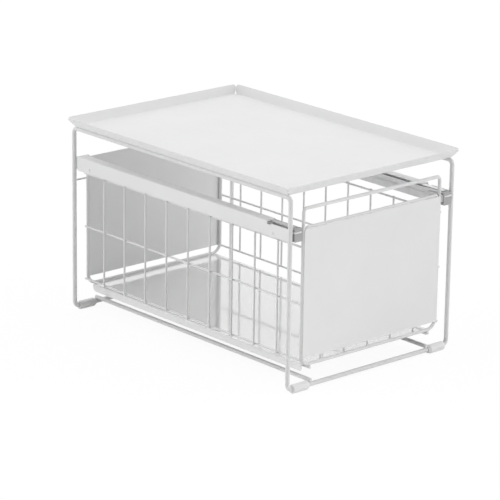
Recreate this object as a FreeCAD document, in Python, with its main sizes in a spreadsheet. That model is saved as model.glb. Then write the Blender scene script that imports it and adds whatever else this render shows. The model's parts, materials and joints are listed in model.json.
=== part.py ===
import FreeCAD, Part
import math
import os
import re
import Sketcher

# Under-sink organizer: a wire frame on four feet with a folded tray on top, and a basket drawer
# that hangs between two ball-bearing slides. Millimetres, +Z up, the drawer opens towards -Y.
# The origin is on the floor, at the middle of the footprint.

SIZES = {
    # frame rods
    "leg_span_x": 261.0,        # left leg axis to right leg axis
    "leg_span_y": 400.0,        # front leg axis to rear leg axis
    "frame_rod": 5.5,           # diameter
    "frame_top": 238.0,         # top rod axis above the floor
    "low_bend": 7.5,            # axis radius where a leg turns into the floor bar
    "top_bend": 6.0,            # axis radius where a leg turns into the top rod
    "base_rod": 5.0,
    "base_gap": 0.5,            # base rod to the foot sleeve's end
    "base_overhang": 1.0,       # base rod end past the floor bar axis
    "cross_rod": 2.4,
    "cross_drop": 69.0,         # cross bar under the top rod
    # foot sleeves
    "foot_outer": 10.8,
    "foot_flat": 0.4,           # cut off underneath
    "foot_barrel": 22.5,        # length at full diameter
    "foot_taper": 3.5,          # length of the tapered end
    "foot_lip": 0.9,            # wall left at the tapered end
    "foot_round": 1.2,
    "foot_over": 1.2,           # over the end of the leg's bend
    "foot_play": 0.15,          # sleeve over rod
    # tray
    "tray_sheet": 0.8,
    "tray_over_x": 2.0,         # fold outside the leg axis
    "tray_inset_y": 2.6,        # fold inside the leg axis
    "rim_rise": 10.7,           # height of the rim's outer face
    "rim_flare": 35.2,          # degrees from upright
    "rim_tip": 3.0,             # rounding of the rim's free corners
    "corner_slit": 1.2,         # narrow mitre between two rims
    "corner_relief": 2.6,       # cut back at the fold where two rims meet
    "relief_rise": 0.36,        # the relief's height, as a share of the rim's
    "fold_round": 1.6,          # inside radius of a fold
    # rails
    "rail_proud": 0.5,          # outer face outside the leg axis
    "rail_drop": 44.6,          # centre line under the top rod
    "rail_height": 18.4,
    "rail_depth": 13.0,
    "rail_sheet": 1.2,
    "rail_round": 1.6,
    "rail_rear_inset": 7.0,     # rear end inside the leg axis
    "slot_long": 37.5,          # cut along the rail's upper front edge
    "slot_high": 1.4,           # its depth in the web, under the top flange
    "slot_start": -0.6,         # from the rail's front end; below zero the cut is open there
    "slot_eye": 3.2,            # depth of the cut's wide rear end
    "slot_eye_long": 6.5,
    "slot_notch": 5.0,          # depth of the notch in the slide behind the slot
    "slot_room": 0.4,           # the slide's notch behind the slot is this much larger
    # rivets through rail and slide
    "rivet_shank": 2.6,
    "rivet_head": 4.4,
    "rivet_rise": 0.9,
    "rivet_play": 0.1,
    "rivet_drop": 4.1,          # below the rail's centre line
    "rivet_inset": 30.0,        # inside the leg axis
    # telescopic slides
    "slide_stack": 16.9,        # rail's outer face to the inner member's web
    "slide_sheet": 1.0,
    "slide_fit": 0.1,           # slide inside the rail
    "slide_gap": 0.4,           # slide end to leg
    "outer_depth": 11.0,
    "inner_depth": 10.0,
    "skirt_drop": 7.5,          # inner web's lower edge below the rail's centre line
    "cover_rise": 7.1,          # cover lip's upper edge above it
    "fold_rise": 1.4,           # step in the web above it
    "inner_gap": 0.65,          # inner member's front end past the rail's front end
    "inner_rear_inset": 10.0,   # rear end inside the leg axis
    "stop_long": 6.1,           # end stop in front of the inner member
    "stop_gap": 0.55,           # end stop to leg
    "stop_drop": 8.4,           # below the rail's centre line
    "stop_rise": 1.2,           # above it
    "stop_round": 1.4,
    "jaw_gap": 3.0,             # open mouth above the end stop's block
    "jaw_high": 2.8,            # upper jaw
    "jaw_spine": 1.5,
    "jaw_round": 0.5,
    "ball": 2.4,
    "ball_play": 0.05,
    "ball_count": 6,            # in one row
    "ball_pitch": 16.0,
    "cage_sheet": 0.8,
    "cage_gap": 0.5,            # inner member's edge to cage back
    "cage_depth": 5.8,
    "cage_tail": 10.0,          # cage past its last ball
    "cage_mid": -4.0,           # middle of the cage with the drawer closed
    "cage_play": 0.1,           # ball in its hole
    # drawer loops
    "loop_rod": 4.2,
    "rear_loop_inset": 1.0,     # rear loop plane inside the leg axis
    "handle_drop": 16.3,        # handle axis under the top rod
    "rear_loop_rise": 6.1,      # top of the rear loop's legs above the rail's centre line
    "loop_low_bend": 13.0,
    "loop_top_bend": 5.0,
    # drawer panels
    "panel_sheet": 0.8,
    "panel_lift": 11.1,         # lower edge above the basket floor
    "front_panel_rise": 4.2,    # upper edge above the rail's centre line
    "rear_panel_rise": 3.6,
    "panel_round": 2.0,
    "lip_rod": 3.5,             # rod above the front panel
    "lip_rise": 1.4,            # its axis above the panel
    "lip_bend": 3.5,
    "lip_tail": 20.0,
    # drawer floor
    "floor_level": 28.9,        # underside of the floor plate
    "plate_sheet": 0.8,
    "plate_inset": 6.0,         # plate side inside the loop's leg axis
    "plate_drop": 7.9,          # down-turned sides under the plate
    "plate_round": 1.6,
    "plate_gap": 0.15,          # plate end to the bend of a floor wire
    "plate_end_round": 6.5,
    "plate_end_slope": 2.4,
    "floor_rod": 4.0,
    "floor_rod_overhang": 1.2,  # past the loop axis
    "wire": 2.5,
    "floor_wire_count": 5,
    "floor_wire_inset": 21.0,   # outermost wire inside the floor rod's axis
    "floor_wire_bend": 2.0,
    "floor_wire_rise": 12.6,    # turned-up front end above the basket floor
    "floor_wire_overhang": 1.5, # rear end past the loop axis
    # drawer sides
    "side_top_drop": 16.9,      # top side wire under the rail's centre line
    "side_low_rise": 9.6,       # low side wire above the basket floor
    "side_front_overhang": 0.2, # past the loop axis
    "side_rear_overhang": 1.0,
    "upright_count": 9,
    "upright_pitch": 40.35,
    "upright_left_mid": -2.2,   # middle upright of a row
    "upright_right_mid": 4.2,
    "upright_foot": 1.2,        # below the low side wire's axis
    "upright_head": 0.6,        # above the top side wire's axis
    # hanger tabs between loops and slides
    "hanger_sheet": 2.0,
    "hanger_long": 26.0,
    "hanger_high": 9.6,
    "hanger_round": 2.0,
    "screw_shank": 3.0,
    "screw_head": 5.6,
    "screw_rise": 1.6,
    "screw_tip": 1.5,           # past the slide's web
    "screw_inset": 7.0,         # from the tab's inner end
    "screw_drop": 1.9,          # below the rail's centre line
    "screw_play": 0.1,
}

# Places that follow from the driving sizes.
DERIVED = {
    "leg_x": "leg_span_x / 2",
    "leg_y": "leg_span_y / 2",
    "frame_low": "foot_outer / 2 - foot_flat",
    "foot_bore": "frame_rod / 2 + foot_play",
    "foot_long": "foot_barrel + foot_taper",
    "foot_x": "leg_x - low_bend + foot_over",
    "tail_x": "foot_x - foot_long / 2",
    "base_x": "foot_x - foot_long - base_gap - base_rod / 2",
    "base_z": "frame_low + frame_rod / 2 + base_rod / 2",
    "cross_y": "leg_y + frame_rod / 2 + cross_rod / 2",
    "cross_height": "frame_top - cross_drop",
    "fold_x": "leg_x + tray_over_x",
    "fold_y": "leg_y - tray_inset_y",
    "tray_under": "frame_top + frame_rod / 2",
    "slit_share": "corner_slit / sqrt(2)",
    "rim_slant": "rim_rise / cos(rim_flare * 1 deg)",
    "rim_run": "rim_rise * tan(rim_flare * 1 deg)",
    "rail_x": "leg_x + rail_proud",
    "rail_mid": "frame_top - rail_drop",
    "rail_front": "leg_y - frame_rod / 2",
    "rail_rear": "leg_y - rail_rear_inset",
    "rail_long": "rail_front + rail_rear",
    "rail_half": "rail_height / 2",
    "rivet_y": "leg_y - rivet_inset",
    "rivet_z": "rail_mid - rivet_drop",
    "screw_z": "rail_mid - screw_drop",
    "rivet_grip": "rail_sheet + slide_sheet",
    "outer_x": "rail_x - rail_sheet",
    "outer_half": "rail_half - rail_sheet - slide_fit",
    "outer_end": "rail_front - slide_gap",
    "race_half": "outer_half - slide_sheet",
    "inner_x": "rail_x - slide_stack",
    "inner_half": "race_half - ball - 2 * ball_play",
    "inner_front": "rail_front + inner_gap",
    "inner_rear": "leg_y - inner_rear_inset",
    "stop_far": "leg_x - frame_rod / 2 - stop_gap",
    "stop_low": "rail_mid - stop_drop",
    "stop_top": "rail_mid + stop_rise",
    "jaw_low": "stop_top + jaw_gap",
    "jaw_top": "jaw_low + jaw_high",
    "ball_line": "inner_half + ball_play + ball / 2",
    "cage_half": "ball_line + cage_sheet / 2",
    "cage_long": "(ball_count - 1) * ball_pitch + 2 * cage_tail",
    "cage_x": "inner_x + inner_depth + cage_gap + cage_sheet",
    "ball_x": "cage_x - cage_depth / 2 - cage_sheet / 2",
    "loop_side": "inner_x - hanger_sheet",
    "loop_x": "loop_side - loop_rod / 2",
    "loop_low": "floor_level + loop_rod / 2",
    "front_loop": "leg_y",
    "rear_loop": "leg_y - rear_loop_inset",
    "handle_height": "frame_top - handle_drop",
    "rear_top": "rail_mid + rear_loop_rise",
    "panel_low": "floor_level + panel_lift",
    "front_panel_top": "rail_mid + front_panel_rise",
    "rear_panel_top": "rail_mid + rear_panel_rise",
    "lip_x": "loop_x - loop_rod / 2 - lip_rod / 2",
    "lip_y": "front_loop + loop_rod / 2 - lip_rod / 2",
    "lip_height": "front_panel_top + lip_rise",
    "plate_half": "loop_x - plate_inset",
    "plate_low": "floor_level - plate_drop",
    "plate_front": "wire_front - floor_wire_bend - plate_gap",
    "plate_rear": "rear_loop - loop_rod / 2 - plate_gap",
    "floor_rod_x": "loop_x - loop_low_bend",
    "wire_front": "front_loop - loop_rod / 2 - wire / 2",
    "wire_rear": "rear_loop + floor_wire_overhang",
    "floor_wire_pitch": "2 * (floor_rod_x - floor_wire_inset) / (floor_wire_count - 1)",
    "floor_wire_tip": "floor_level + floor_wire_rise",
    "side_x": "loop_side + wire / 2",
    "side_wire_top": "rail_mid - side_top_drop",
    "side_wire_low": "floor_level + side_low_rise",
    "side_wire_mid": "(side_wire_top + side_wire_low) / 2",
    "upright_x": "side_x + wire",
    "upright_low": "side_wire_low - upright_foot",
    "upright_top": "side_wire_top + upright_head",
}

SIDES = {"left": -1, "right": 1}
ENDS = {"front": -1, "rear": 1}
AXES = (FreeCAD.Vector(1, 0, 0), FreeCAD.Vector(0, 1, 0), FreeCAD.Vector(0, 0, 1))
TOUCH = 1e-6        # lengths below this count as nothing
MATCH = 1e-3        # two lengths this close are the same edge

doc = FreeCAD.newDocument("organizer")
sheet = doc.addObject("Spreadsheet::Sheet", "Sizes")
for row, (alias, size) in enumerate(SIZES.items(), start=1):
    sheet.set(f"A{row}", alias)
    sheet.set(f"B{row}", str(size))
    sheet.setAlias(f"B{row}", alias)
doc.recompute()

nodes = []


def expand(text):
    """Write an expression on sizes as one on the sheet's cells."""
    def cell(match):
        name = match.group(0)
        if name in DERIVED:
            return f"({expand(DERIVED[name])})"
        return f"Sizes.{name}" if name in SIZES else name
    return re.sub(r"[a-z_]+", cell, str(text))


def value(text):
    """The present value of an expression on sizes."""
    result = sheet.evalExpression(expand(text))
    return float(getattr(result, "Value", result))


def bind(thing, **sizes):
    """Tie a piece's properties to the sheet."""
    for name, text in sizes.items():
        thing.setExpression(name, expand(text))


def put(thing, x="0", y="0", z="0", turn=FreeCAD.Rotation()):
    """Turn a piece, then tie its place to the sheet."""
    thing.Placement = FreeCAD.Placement(FreeCAD.Vector(), turn)
    for axis, text in zip("xyz", (x, y, z)):
        thing.setExpression(f"Placement.Base.{axis}", expand(text))


def keep(thing, label):
    """Make a piece one of the part's nodes."""
    thing.Label = label
    nodes.append(thing)
    return thing


def fuse(pieces):
    """Join pieces of one solid."""
    if len(pieces) == 1:
        return pieces[0]
    whole = doc.addObject("Part::MultiFuse", "Whole")
    whole.Shapes = pieces
    whole.Refine = True
    return whole


def group(pieces):
    """Hold like pieces together in one node, each a solid of its own."""
    whole = doc.addObject("Part::Compound", "Set")
    whole.Links = pieces
    return whole


def round_bar(start, axis, sense, length, diameter):
    """A straight round bar from a point along an axis."""
    bar = doc.addObject("Part::Cylinder", "Run")
    bind(bar, Radius=f"({diameter}) / 2", Height=length)
    put(bar, *start, turn=FreeCAD.Rotation(AXES[2], AXES[axis] * sense))
    return bar


def heading(first, second):
    """Axis and sense of the straight run between two points."""
    for axis in range(3):
        step = value(f"({second[axis]}) - ({first[axis]})")
        if abs(step) > TOUCH:
            return axis, (1 if step > 0 else -1)
    raise ValueError("two points of a rod are the same")


def shifted(point, *moves):
    """A point moved along axes: each move is an axis, a sense and a distance."""
    texts = list(point)
    for axis, sense, distance in moves:
        texts[axis] = f"({texts[axis]}) + ({sense}) * ({distance})"
    return tuple(texts)


def rod(points, diameter, bends=(), closed=False):
    """A round rod through points, each run along an axis, with a round bend at each corner."""
    count = len(points)
    stops = points + points[:1] if closed else points
    runs = [heading(a, b) for a, b in zip(stops, stops[1:])]
    radii = list(bends) if closed else ["0", *bends, "0"]
    pieces = []
    for i, (axis, sense) in enumerate(runs):
        first, last = radii[i], radii[(i + 1) % count]
        span = f"({sense}) * (({stops[i + 1][axis]}) - ({stops[i][axis]})) - ({first}) - ({last})"
        pieces.append(round_bar(shifted(stops[i], (axis, sense, first)), axis, sense, span, diameter))
    for i in range(count):
        if radii[i] == "0":
            continue
        (axis_in, sense_in), (axis_out, sense_out) = runs[i - 1], runs[i]
        bend = doc.addObject("Part::Torus", "Bend")
        bind(bend, Radius1=radii[i], Radius2=f"({diameter}) / 2")
        bend.Angle3 = 90
        ahead, aside = AXES[axis_in] * sense_in, AXES[axis_out] * -sense_out
        centre = shifted(points[i], (axis_in, -sense_in, radii[i]), (axis_out, sense_out, radii[i]))
        put(bend, *centre, turn=FreeCAD.Rotation(aside, ahead, aside.cross(ahead), "XYZ"))
        pieces.append(bend)
    return fuse(pieces)


def new_body():
    """An empty body for a piece made from outlines."""
    return doc.addObject("PartDesign::Body", "Body")


def new_sketch(body, plane, lift="0"):
    """A sketch on one of the body's own planes, lifted along that plane's normal."""
    outline = body.newObject("Sketcher::SketchObject", "Outline")
    support = next(f for f in body.Origin.OriginFeatures if f.Role == f"{plane}_Plane")
    outline.AttachmentSupport = (support, [""])
    outline.MapMode = "FlatFace"
    outline.setExpression("AttachmentOffset.Base.z", expand(lift))
    return outline


def pin_down(outline, geometry, end, spot):
    """Tie one point of a sketch to the sheet, measured from the sketch's origin."""
    for kind, axis, text in (("DistanceX", -2, spot[0]), ("DistanceY", -1, spot[1])):
        size = value(text)
        if abs(size) < TOUCH:
            outline.addConstraint(Sketcher.Constraint("PointOnObject", geometry, end, axis))
            continue
        ends = (-1, 1, geometry, end) if size > 0 else (geometry, end, -1, 1)
        index = outline.addConstraint(Sketcher.Constraint(kind, *ends, abs(size)))
        outline.setExpression(f"Constraints[{index}]", expand(text if size > 0 else f"-({text})"))


def draw_outline(outline, corners):
    """A closed outline: each corner is a place (u, v), or (u, v, radius) where square runs are rounded."""
    def spot(u, v):
        return FreeCAD.Vector(value(u), value(v), 0)

    def step(a, b):
        line = spot(*b[:2]) - spot(*a[:2])
        return line.normalize()

    marks = []
    for i, corner in enumerate(corners):
        u, v = corner[:2]
        if len(corner) == 2:
            marks.append(((u, v), (u, v), None))
            continue
        radius = corner[2]
        ahead, onward = step(corners[i - 1], corner), step(corner, corners[(i + 1) % len(corners)])
        first = (f"({u}) - ({round(ahead.x)}) * ({radius})", f"({v}) - ({round(ahead.y)}) * ({radius})")
        last = (f"({u}) + ({round(onward.x)}) * ({radius})", f"({v}) + ({round(onward.y)}) * ({radius})")
        marks.append((first, last, (radius, ahead, onward)))

    lines = []
    for i, mark in enumerate(marks):
        follower = marks[(i + 1) % len(marks)]
        lines.append(outline.addGeometry(Part.LineSegment(spot(*mark[1]), spot(*follower[0])), False))
    for i, (first, last, bend) in enumerate(marks):
        before, after = lines[i - 1], lines[i]
        pin_down(outline, after, 1, last)
        if bend is None:
            outline.addConstraint(Sketcher.Constraint("Coincident", before, 2, after, 1))
            continue
        radius, ahead, onward = bend
        pin_down(outline, before, 2, first)
        centre = spot(*first) + onward * value(radius)
        left_turn = ahead.cross(onward).z > 0
        begin, end = (-onward, ahead) if left_turn else (ahead, -onward)
        circle = Part.Circle(centre, AXES[2], value(radius))
        start = math.atan2(begin.y, begin.x)
        arc = outline.addGeometry(Part.ArcOfCircle(circle, start, start + math.pi / 2), False)
        if math.sin(math.atan2(end.y, end.x) - start) < 0:
            raise ValueError("a rounded corner turns the wrong way")
        near, far = (1, 2) if left_turn else (2, 1)
        outline.addConstraint(Sketcher.Constraint("Coincident", before, 2, arc, near))
        outline.addConstraint(Sketcher.Constraint("Coincident", arc, far, after, 1))
        index = outline.addConstraint(Sketcher.Constraint("Radius", arc, value(radius)))
        outline.setExpression(f"Constraints[{index}]", expand(radius))
    return outline


def draw_circles(outline, spots, diameter):
    """Round holes of one size in a sketch."""
    for spot in spots:
        centre = FreeCAD.Vector(value(spot[0]), value(spot[1]), 0)
        ring = outline.addGeometry(Part.Circle(centre, AXES[2], value(diameter) / 2), False)
        pin_down(outline, ring, 3, spot)
        index = outline.addConstraint(Sketcher.Constraint("Diameter", ring, value(diameter)))
        outline.setExpression(f"Constraints[{index}]", expand(diameter))
    return outline


def pad(body, outline, length, reverse=False):
    """Thicken an outline along its normal."""
    feature = body.newObject("PartDesign::Pad", "Pad")
    feature.Profile = outline
    feature.Reversed = reverse
    bind(feature, Length=length)
    return feature


def pocket_through(body, outline, length):
    """Cut an outline out of the body, half of the length to each side of the sketch."""
    doc.recompute()
    before = body.Shape.Volume
    feature = body.newObject("PartDesign::Pocket", "Cut")
    feature.Profile = outline
    feature.SideType = "Symmetric"
    bind(feature, Length=length)
    doc.recompute()
    if body.Shape.Volume > before - TOUCH:
        raise ValueError("a cut removed nothing")
    return feature


def soften(body, kind, size, chosen):
    """Round or bevel the body's edges that pass a test."""
    doc.recompute()
    base = body.Tip
    names = [f"Edge{i}" for i, edge in enumerate(base.Shape.Edges, start=1) if chosen(edge)]
    if not names:
        raise ValueError("no edge to soften")
    feature = body.newObject(f"PartDesign::{kind}", kind)
    feature.Base = (base, names)
    bind(feature, **{"Radius" if kind == "Fillet" else "Size": size})
    return feature


def channel(side, web_x, half, depth, thick, bend, opens):
    """Corners of a C section seen along Y: its web at web_x, its flanges towards opens (1 is outward)."""
    def corner(x, z, *radius):
        return (f"({side}) * ({x})", z, *radius)

    top, low = f"rail_mid + ({half})", f"rail_mid - ({half})"
    tip = f"({web_x}) + ({opens}) * ({depth})"
    inside = f"({web_x}) + ({opens}) * ({thick})"
    inner_bend = f"({bend}) - ({thick})"
    return [
        corner(tip, top),
        corner(web_x, top, bend),
        corner(web_x, low, bend),
        corner(tip, low),
        corner(tip, f"{low} + ({thick})"),
        corner(inside, f"{low} + ({thick})", inner_bend),
        corner(inside, f"{top} - ({thick})", inner_bend),
        corner(tip, f"{top} - ({thick})"),
    ]


def side_frame(side):
    """Leg, top rod and leg in one bent rod, with both feet turned inward."""
    leg, tail = f"({side}) * leg_x", f"({side}) * tail_x"
    path = [
        (tail, "-leg_y", "frame_low"),
        (leg, "-leg_y", "frame_low"),
        (leg, "-leg_y", "frame_top"),
        (leg, "leg_y", "frame_top"),
        (leg, "leg_y", "frame_low"),
        (tail, "leg_y", "frame_low"),
    ]
    return rod(path, "frame_rod", ["low_bend", "top_bend", "top_bend", "low_bend"])


def floor_bar(end):
    """Bar on the floor between two turned-in rod ends."""
    y = f"({end}) * leg_y"
    return rod([("-tail_x", y, "frame_low"), ("tail_x", y, "frame_low")], "frame_rod")


def base_rod(side):
    """Rod from front to rear that lies on both floor bars."""
    x = f"({side}) * base_x"
    return rod([(x, "-leg_y - base_overhang", "base_z"), (x, "leg_y + base_overhang", "base_z")], "base_rod")


def cross_bar():
    """Thin bar behind the rear legs."""
    return rod([("-leg_x", "cross_y", "cross_height"), ("leg_x", "cross_y", "cross_height")], "cross_rod")


def foot(side, end):
    """Sleeve over the floor bar's joint, tapered inboard and flat underneath."""
    body = new_body()
    outline = draw_outline(new_sketch(body, "XZ"), [
        ("0", "foot_bore"),
        ("0", "foot_outer / 2", "foot_round"),
        ("foot_barrel", "foot_outer / 2"),
        ("foot_long", "foot_bore + foot_lip"),
        ("foot_long", "foot_bore"),
    ])
    turned = body.newObject("PartDesign::Revolution", "Sleeve")
    turned.Profile = outline
    turned.ReferenceAxis = (outline, ["H_Axis"])
    turned.Angle = 360
    under = draw_outline(new_sketch(body, "YZ"), [
        ("-foot_outer", "-foot_outer"),
        ("foot_outer", "-foot_outer"),
        ("foot_outer", "-frame_low"),
        ("-foot_outer", "-frame_low"),
    ])
    pocket_through(body, under, "3 * foot_long")
    half_turn = FreeCAD.Rotation(AXES[2], 0 if side < 0 else 180)
    put(body, f"({side}) * foot_x", f"({end}) * leg_y", "frame_low", turn=half_turn)
    return body


def tray_rim(body, plane, lift, half, sense):
    """One flared rim: a strip with mitred ends cut back at the fold, drawn in its own sloping plane."""
    outline = new_sketch(body, plane, f"({sense}) * ({lift})")
    outline.AttachmentOffset = FreeCAD.Placement(FreeCAD.Vector(), FreeCAD.Rotation(AXES[0], sense))
    outline.setExpression("AttachmentOffset.Rotation.Angle", expand(f"({sense}) * rim_flare"))
    root = f"{half} - corner_relief"
    meet = f"{half} + relief_rise * rim_run - slit_share"
    free = f"{half} + rim_run - slit_share"
    draw_outline(outline, [
        (f"-({root})", "0"), (root, "0"),
        (meet, "relief_rise * rim_slant"), (free, "rim_slant"),
        (f"-({free})", "rim_slant"), (f"-({meet})", "relief_rise * rim_slant"),
    ])
    return pad(body, outline, "tray_sheet", reverse=sense > 0)


def tray():
    """Folded sheet tray with four flared rims and relieved corners, resting on the top rods."""
    body = new_body()
    notch_x, notch_y = "fold_x - corner_relief", "fold_y - corner_relief"
    floor = draw_outline(new_sketch(body, "XY"), [
        (f"-({notch_x})", "-fold_y"), (notch_x, "-fold_y"), (notch_x, f"-({notch_y})"),
        ("fold_x", f"-({notch_y})"), ("fold_x", notch_y), (notch_x, notch_y),
        (notch_x, "fold_y"), (f"-({notch_x})", "fold_y"), (f"-({notch_x})", notch_y),
        ("-fold_x", notch_y), ("-fold_x", f"-({notch_y})"), (f"-({notch_x})", f"-({notch_y})"),
    ])
    pad(body, floor, "tray_sheet")
    for sense in (1, -1):
        tray_rim(body, "YZ", "fold_x", "fold_y", sense)
        tray_rim(body, "XZ", "fold_y", "fold_x", sense)

    thick, rise = value("tray_sheet"), value("rim_rise")
    soften(body, "Fillet", "rim_tip", lambda edge: (
        abs(edge.Length - thick) < MATCH and edge.CenterOfMass.z > rise / 2))
    long_edge = value("fold_x")

    def outer_fold(edge):
        return edge.Length > long_edge and abs(edge.BoundBox.ZMax) < MATCH

    def inner_fold(edge):
        box = edge.BoundBox
        return edge.Length > long_edge and abs(box.ZMax - thick) < MATCH and abs(box.ZMin - thick) < MATCH

    soften(body, "Fillet", "fold_round + tray_sheet", outer_fold)
    soften(body, "Fillet", "fold_round", inner_fold)
    put(body, z="tray_under")
    return body


def rivet_spots():
    """Front and rear rivets of a rail, seen along X."""
    return [("-rivet_y", "rivet_z"), ("rivet_y", "rivet_z")]


def slot_outline(room, over="0"):
    """Cut along the upper front edge of a rail, with its deep end at the rear, seen along X."""
    front = f"slot_start - rail_front - ({room})"
    rear = f"slot_start - rail_front + slot_long + ({room})"
    top = f"rail_mid + rail_half - rail_sheet + ({room}) / 4 + ({over})"
    low = f"rail_mid + rail_half - rail_sheet - slot_high - ({room})"
    eye = f"rail_mid + rail_half - rail_sheet - slot_eye - ({room})"
    step = f"{rear} - slot_eye_long - 2 * ({room})"
    return [(front, top), (front, low), (step, low), (step, eye), (rear, eye), (rear, top)]


def rail(side):
    """C-channel between the legs, open inward, with its upper edge cut away at the front."""
    body = new_body()
    section = channel(side, "rail_x", "rail_half", "rail_depth", "rail_sheet", "rail_round", -1)
    pad(body, draw_outline(new_sketch(body, "XZ", "-rail_rear"), section), "rail_long")
    slot = draw_outline(new_sketch(body, "YZ", f"({side}) * rail_x"), slot_outline("0", "2 * rail_sheet"))
    pocket_through(body, slot, "3 * rail_depth")
    holes = new_sketch(body, "YZ", f"({side}) * rail_x")
    pocket_through(body, draw_circles(holes, rivet_spots(), "rivet_shank + 2 * rivet_play"), "3 * rail_sheet")
    return body


def slide_outer(side):
    """Fixed slide member, a C section inside the rail, notched behind the rail's cut."""
    body = new_body()
    section = channel(side, "outer_x", "outer_half", "outer_depth", "slide_sheet", "1.5 * slide_sheet", -1)
    pad(body, draw_outline(new_sketch(body, "XZ", "-outer_end"), section), "2 * outer_end")
    notch = draw_outline(new_sketch(body, "YZ", f"({side}) * outer_x"), slot_outline("slot_room"))
    pocket_through(body, notch, "2 * slot_notch")
    holes = new_sketch(body, "YZ", f"({side}) * outer_x")
    pocket_through(body, draw_circles(holes, rivet_spots(), "rivet_shank + 2 * rivet_play"), "3 * slide_sheet")
    return body


def rivet(side, y, z):
    """Rivet through rail and slide, with a bevelled head outside and a flat one inside."""
    axis, sense = 0, side
    inner_face = f"({side}) * (rail_x - rivet_grip)"
    shank = round_bar((inner_face, y, z), axis, sense, "rivet_grip", "rivet_shank")
    clinch = round_bar((inner_face, y, z), axis, -sense, "rivet_rise", "rivet_head")
    head = doc.addObject("Part::Cone", "Head")
    bind(head, Radius1="rivet_head / 2", Radius2="rivet_head / 2 - rivet_rise / 2", Height="rivet_rise")
    put(head, f"({side}) * rail_x", y, z, turn=FreeCAD.Rotation(AXES[2], AXES[axis] * sense))
    return fuse([shank, clinch, head])


def inner_section(side):
    """Cross-section of the moving member: a stepped web with skirt and cover lip, and two ball flanges."""
    web, inside = f"({side}) * inner_x", f"({side}) * (inner_x + slide_sheet)"
    lip, tip = f"({side}) * (inner_x + 2 * slide_sheet)", f"({side}) * (inner_x + inner_depth)"
    skirt, cover = "rail_mid - skirt_drop", "rail_mid + cover_rise"
    fold, top, low = "rail_mid + fold_rise", "rail_mid + inner_half", "rail_mid - inner_half"
    return [
        (web, skirt), (web, fold, "0.6 * slide_sheet"), (inside, fold), (inside, cover), (lip, cover),
        (lip, top), (tip, top), (tip, f"{top} - slide_sheet"), (lip, f"{top} - slide_sheet"),
        (lip, f"{fold} - slide_sheet"), (inside, f"{fold} - slide_sheet"), (inside, f"{low} + slide_sheet"),
        (tip, f"{low} + slide_sheet"), (tip, low), (inside, low), (inside, skirt),
    ]


def slide_inner(side):
    """Moving slide member, a folded section open outward, with holes for the hanger screws."""
    body = new_body()
    section = inner_section(side)
    pad(body, draw_outline(new_sketch(body, "XZ", "-inner_rear"), section), "inner_front + inner_rear")
    holes = new_sketch(body, "YZ", f"({side}) * inner_x")
    spots = [(screw_y(end), "screw_z") for end in ENDS.values()]
    pocket_through(body, draw_circles(holes, spots, "screw_shank + 2 * screw_play"), "3 * slide_sheet")
    return body


def slide_end(side):
    """End stop across the front of the inner slide member: a block with a thin jaw above it."""
    body = new_body()
    near, far = f"({side}) * inner_x", f"({side}) * stop_far"
    mouth = f"({side}) * (inner_x + jaw_spine)"
    outline = draw_outline(new_sketch(body, "XZ", "inner_front"), [
        (near, "stop_low", "stop_round"), (far, "stop_low", "stop_round"),
        (far, "stop_top", "jaw_round"), (mouth, "stop_top", "jaw_round"),
        (mouth, "jaw_low", "jaw_round"), (far, "jaw_low", "jaw_round"),
        (far, "jaw_top", "jaw_round"), (near, "jaw_top", "jaw_round"),
    ])
    pad(body, outline, "stop_long")
    return body


def ball_spots():
    """Places of one row of balls along the slide."""
    count = round(value("ball_count"))
    return [f"cage_mid + ({i - (count - 1) / 2}) * ball_pitch" for i in range(count)]


def ball_cage(side):
    """C-shaped strip with a row of ball holes in each flange."""
    body = new_body()
    section = channel(side, "cage_x", "cage_half", "cage_depth", "cage_sheet", "1.5 * cage_sheet", -1)
    rear = "cage_mid + cage_long / 2"
    pad(body, draw_outline(new_sketch(body, "XZ", f"-({rear})"), section), "cage_long")
    spots = [(f"({side}) * ball_x", y) for y in ball_spots()]
    holes = draw_circles(new_sketch(body, "XY", "rail_mid"), spots, "ball + 2 * cage_play")
    pocket_through(body, holes, "3 * cage_half")
    return body


def ball_set(side):
    """Both rows of balls of one slide."""
    balls = []
    for level in (-1, 1):
        for y in ball_spots():
            ball = doc.addObject("Part::Sphere", "Ball")
            bind(ball, Radius="ball / 2")
            put(ball, f"({side}) * ball_x", y, f"rail_mid + ({level}) * ball_line")
            balls.append(ball)
    return group(balls)


def hanger_outer_end(end):
    """Y of a hanger tab's end at its loop."""
    loop = "front_loop" if end < 0 else "rear_loop"
    return f"({end}) * ({loop} + loop_rod / 2)"


def screw_y(end):
    """Y of a hanger screw."""
    return f"{hanger_outer_end(end)} - ({end}) * (hanger_long - screw_inset)"


def hanger(side, end):
    """Tab between a loop's leg and the inner slide member."""
    body = new_body()
    outer = hanger_outer_end(end)
    inner = f"{outer} - ({end}) * hanger_long"
    low, top = "rail_mid - hanger_high / 2", "rail_mid + hanger_high / 2"
    face = f"({side}) * loop_side"
    outline = draw_outline(new_sketch(body, "YZ", face), [
        (outer, low, "hanger_round"), (inner, low, "hanger_round"),
        (inner, top, "hanger_round"), (outer, top, "hanger_round"),
    ])
    pad(body, outline, "hanger_sheet", reverse=side < 0)
    holes = draw_circles(new_sketch(body, "YZ", face), [(screw_y(end), "screw_z")],
                         "screw_shank + 2 * screw_play")
    pocket_through(body, holes, "3 * hanger_sheet")
    return body


def hanger_screw(side, end):
    """Screw from inside the basket through tab and slide."""
    spot = (f"({side}) * loop_side", screw_y(end), "screw_z")
    shank = round_bar(spot, 0, side, "hanger_sheet + slide_sheet + screw_tip", "screw_shank")
    head = doc.addObject("Part::Cone", "Head")
    bind(head, Radius1="screw_head / 2", Radius2="screw_head / 2 - screw_rise / 2", Height="screw_rise")
    put(head, *spot, turn=FreeCAD.Rotation(AXES[2], AXES[0] * -side))
    return fuse([shank, head])


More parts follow.
